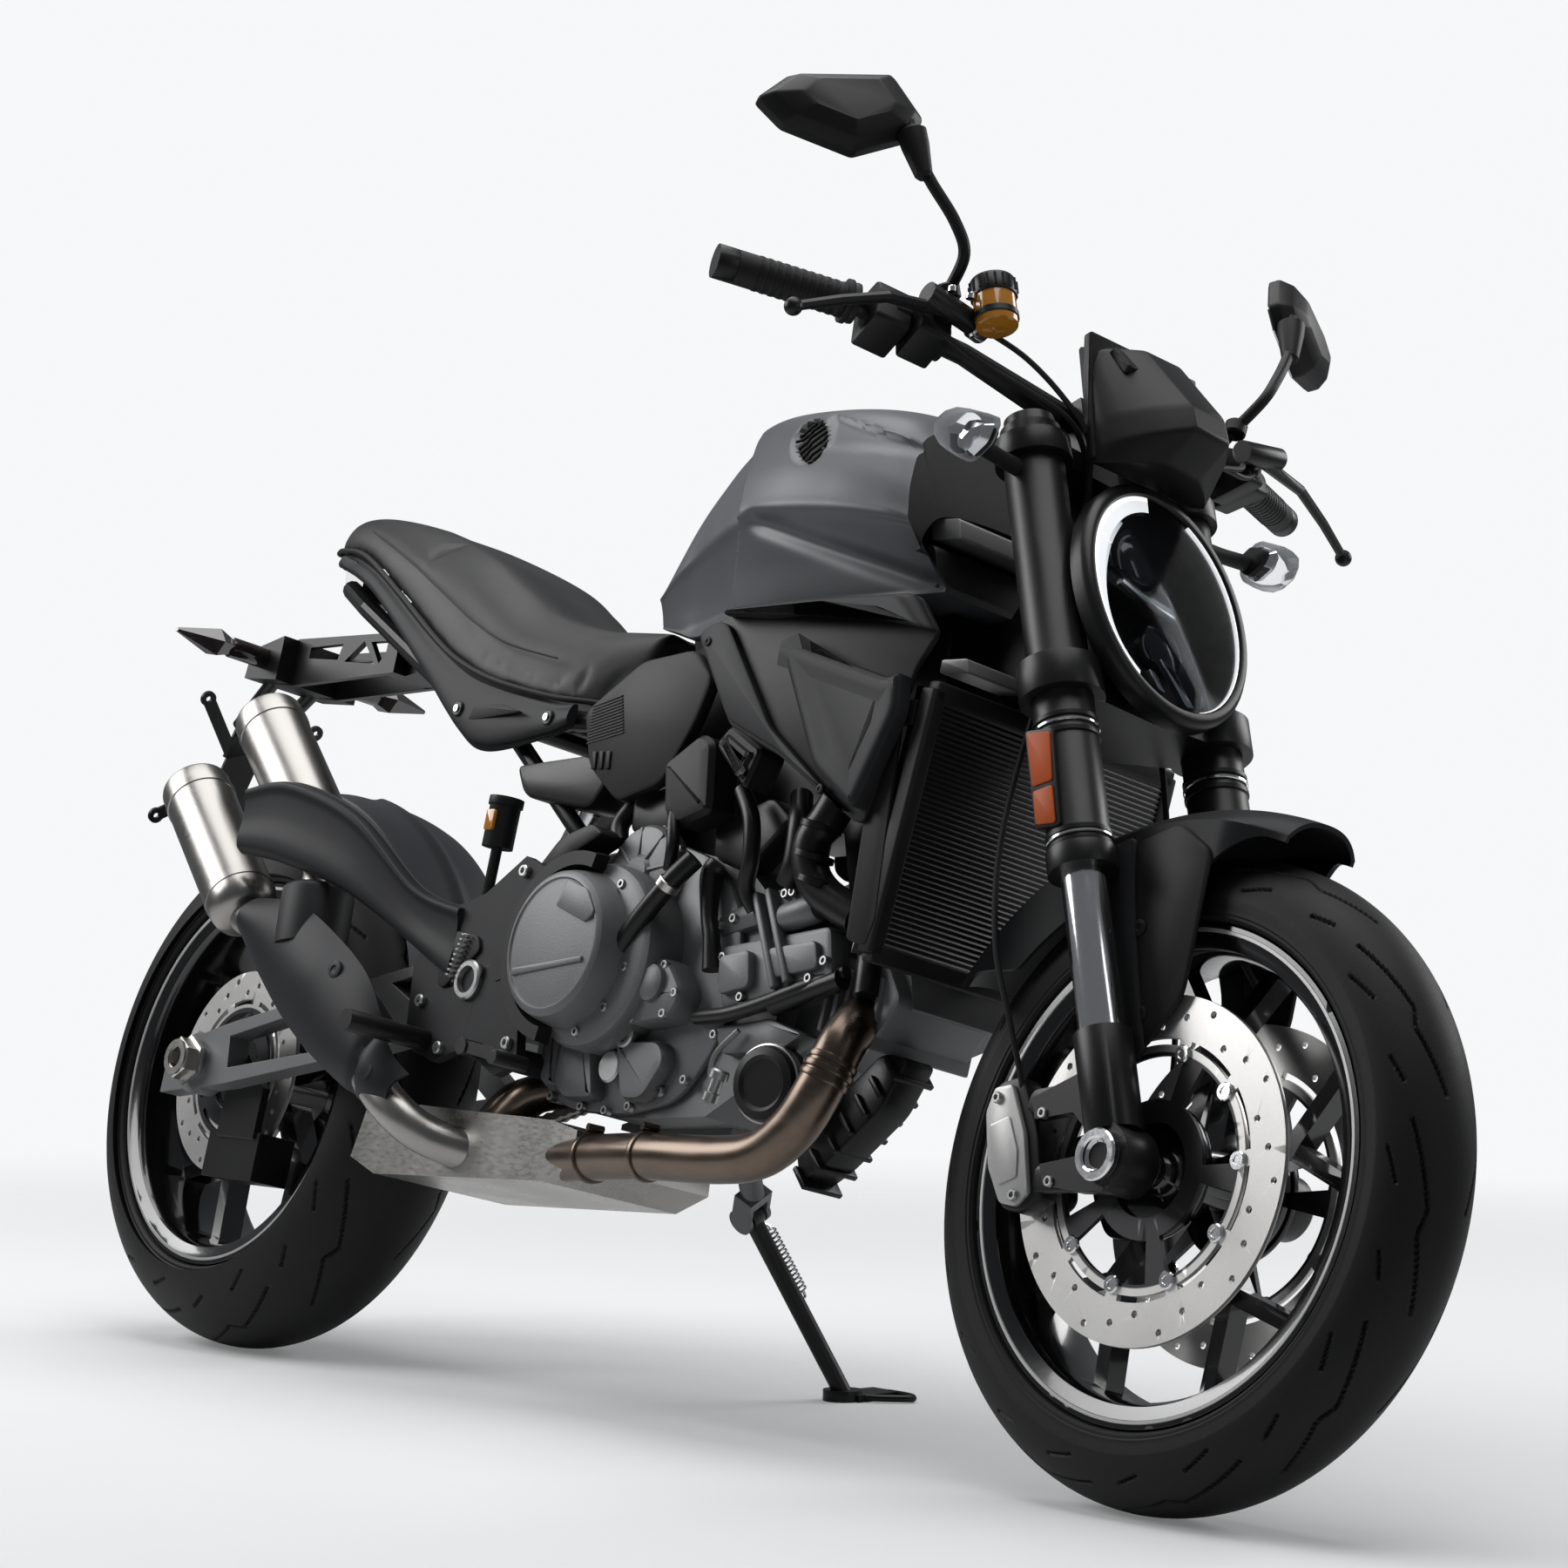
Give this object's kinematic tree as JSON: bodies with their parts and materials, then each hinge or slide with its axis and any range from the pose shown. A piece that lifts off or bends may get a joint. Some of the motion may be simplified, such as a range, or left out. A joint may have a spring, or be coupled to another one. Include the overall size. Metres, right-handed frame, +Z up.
{
  "type": "standard motorcycle",
  "caption": "Naked standard motorcycle leaning on its side stand, with spoked road wheels, upright fork, round headlamp, sculpted tank, stepped seat and twin upswept silencers.",
  "frame": {"origin": "centre of the bounding box at floor level, with the motorcycle parked and leaning to its left", "axes": "+X forward along the wheelbase, +Y to the rider's left, +Z up"},
  "size_m": [2.107, 0.8714, 1.3475],
  "materials": {
    "tyre_rubber": "matte tread",
    "gloss_black": "gloss",
    "satin_black": "satin",
    "black_plastic": "matte",
    "graphite": "matte",
    "cast_grey": "cast, satin",
    "chrome_steel": "polished",
    "stainless": "brushed",
    "tempered": "heat coloured",
    "disc_steel": "ground",
    "chain_steel": "oiled",
    "vinyl": "grained",
    "rubber": "ribbed",
    "clear_lens": "clear",
    "red_lens": "tinted",
    "amber": "translucent",
    "mirror_glass": "polished",
    "caliper_grey": "satin"
  },
  "bodies": {
    "chassis": {"front_frame": "cast_grey", "engine_case": "cast_grey", "clutch_cover": "cast_grey", "side_covers": "cast_grey", "cylinders": "cast_grey", "airbox": "black_plastic", "subframe": "satin_black", "fuel_tank": "graphite", "side_panels": "graphite", "airbox_covers": "black_plastic", "seat": "vinyl", "tail_fairing": "graphite", "plate_holder": "black_plastic", "rear_lamps": "red_lens", "radiator": "satin_black", "exhaust_header": "tempered", "exhaust_box": "stainless", "silencers": "stainless", "heat_shield": "black_plastic", "swingarm": "cast_grey", "rear_shock": "satin_black", "rear_hugger": "black_plastic", "rear_caliper": "satin_black", "peg_plates": "cast_grey", "foot_controls": "cast_grey", "rear_reservoir": "amber", "drive_chain": "chain_steel", "rear_axle": "chrome_steel"},
    "fork_assembly": {"fork_tubes": "satin_black", "fork_sliders": "chrome_steel", "fork_feet": "satin_black", "triple_clamps": "satin_black", "handlebar": "satin_black", "grips": "rubber", "bar_controls": "black_plastic", "fluid_reservoir": "amber", "mirrors": "black_plastic", "mirror_glasses": "mirror_glass", "headlight_housing": "black_plastic", "headlight_lens": "clear_lens", "instrument_pod": "black_plastic", "front_fender": "black_plastic", "front_indicators": "clear_lens", "front_calipers": "caliper_grey", "front_axle": "chrome_steel"},
    "front_wheel_set": {"front_tyre": "tyre_rubber", "front_wheel": "gloss_black", "front_discs": "disc_steel"},
    "rear_wheel_set": {"rear_tyre": "tyre_rubber", "rear_wheel": "gloss_black", "rear_disc": "disc_steel", "rear_sprocket": "chain_steel"},
    "stand": {"side_stand": "satin_black", "stand_spring": "stainless"},
    "cap": {"fuel_cap": "satin_black"}
  },
  "joints": [
    {"name": "steering", "type": "hinge", "parent": "chassis", "child": "fork_assembly", "pos_m": [0.49617, -0.06224, 0.82273], "axis": [-0.3827, 0.2078, 0.9002], "range_deg": [-30, 30]},
    {"name": "front_wheel_spin", "type": "hinge", "parent": "fork_assembly", "child": "front_wheel_set", "pos_m": [0.7535, -0.18435, 0.2938], "axis": [0, 0.9744, -0.225], "continuous": true},
    {"name": "rear_wheel_spin", "type": "hinge", "parent": "chassis", "child": "rear_wheel_set", "pos_m": [-0.7385, -0.18078, 0.30928], "axis": [0, 0.9744, -0.225], "continuous": true},
    {"name": "side_stand_fold", "type": "hinge", "parent": "chassis", "child": "stand", "pos_m": [-0.0185, -0.06155, 0.20333], "axis": [0, 0.8725, 0.4886], "range_deg": [0, 92]},
    {"name": "fuel_cap_lift", "type": "hinge", "parent": "chassis", "child": "cap", "pos_m": [0.1495, -0.01283, 1.03673], "axis": [0, 0.9744, -0.225], "range_deg": [0, 95]}
  ]
}
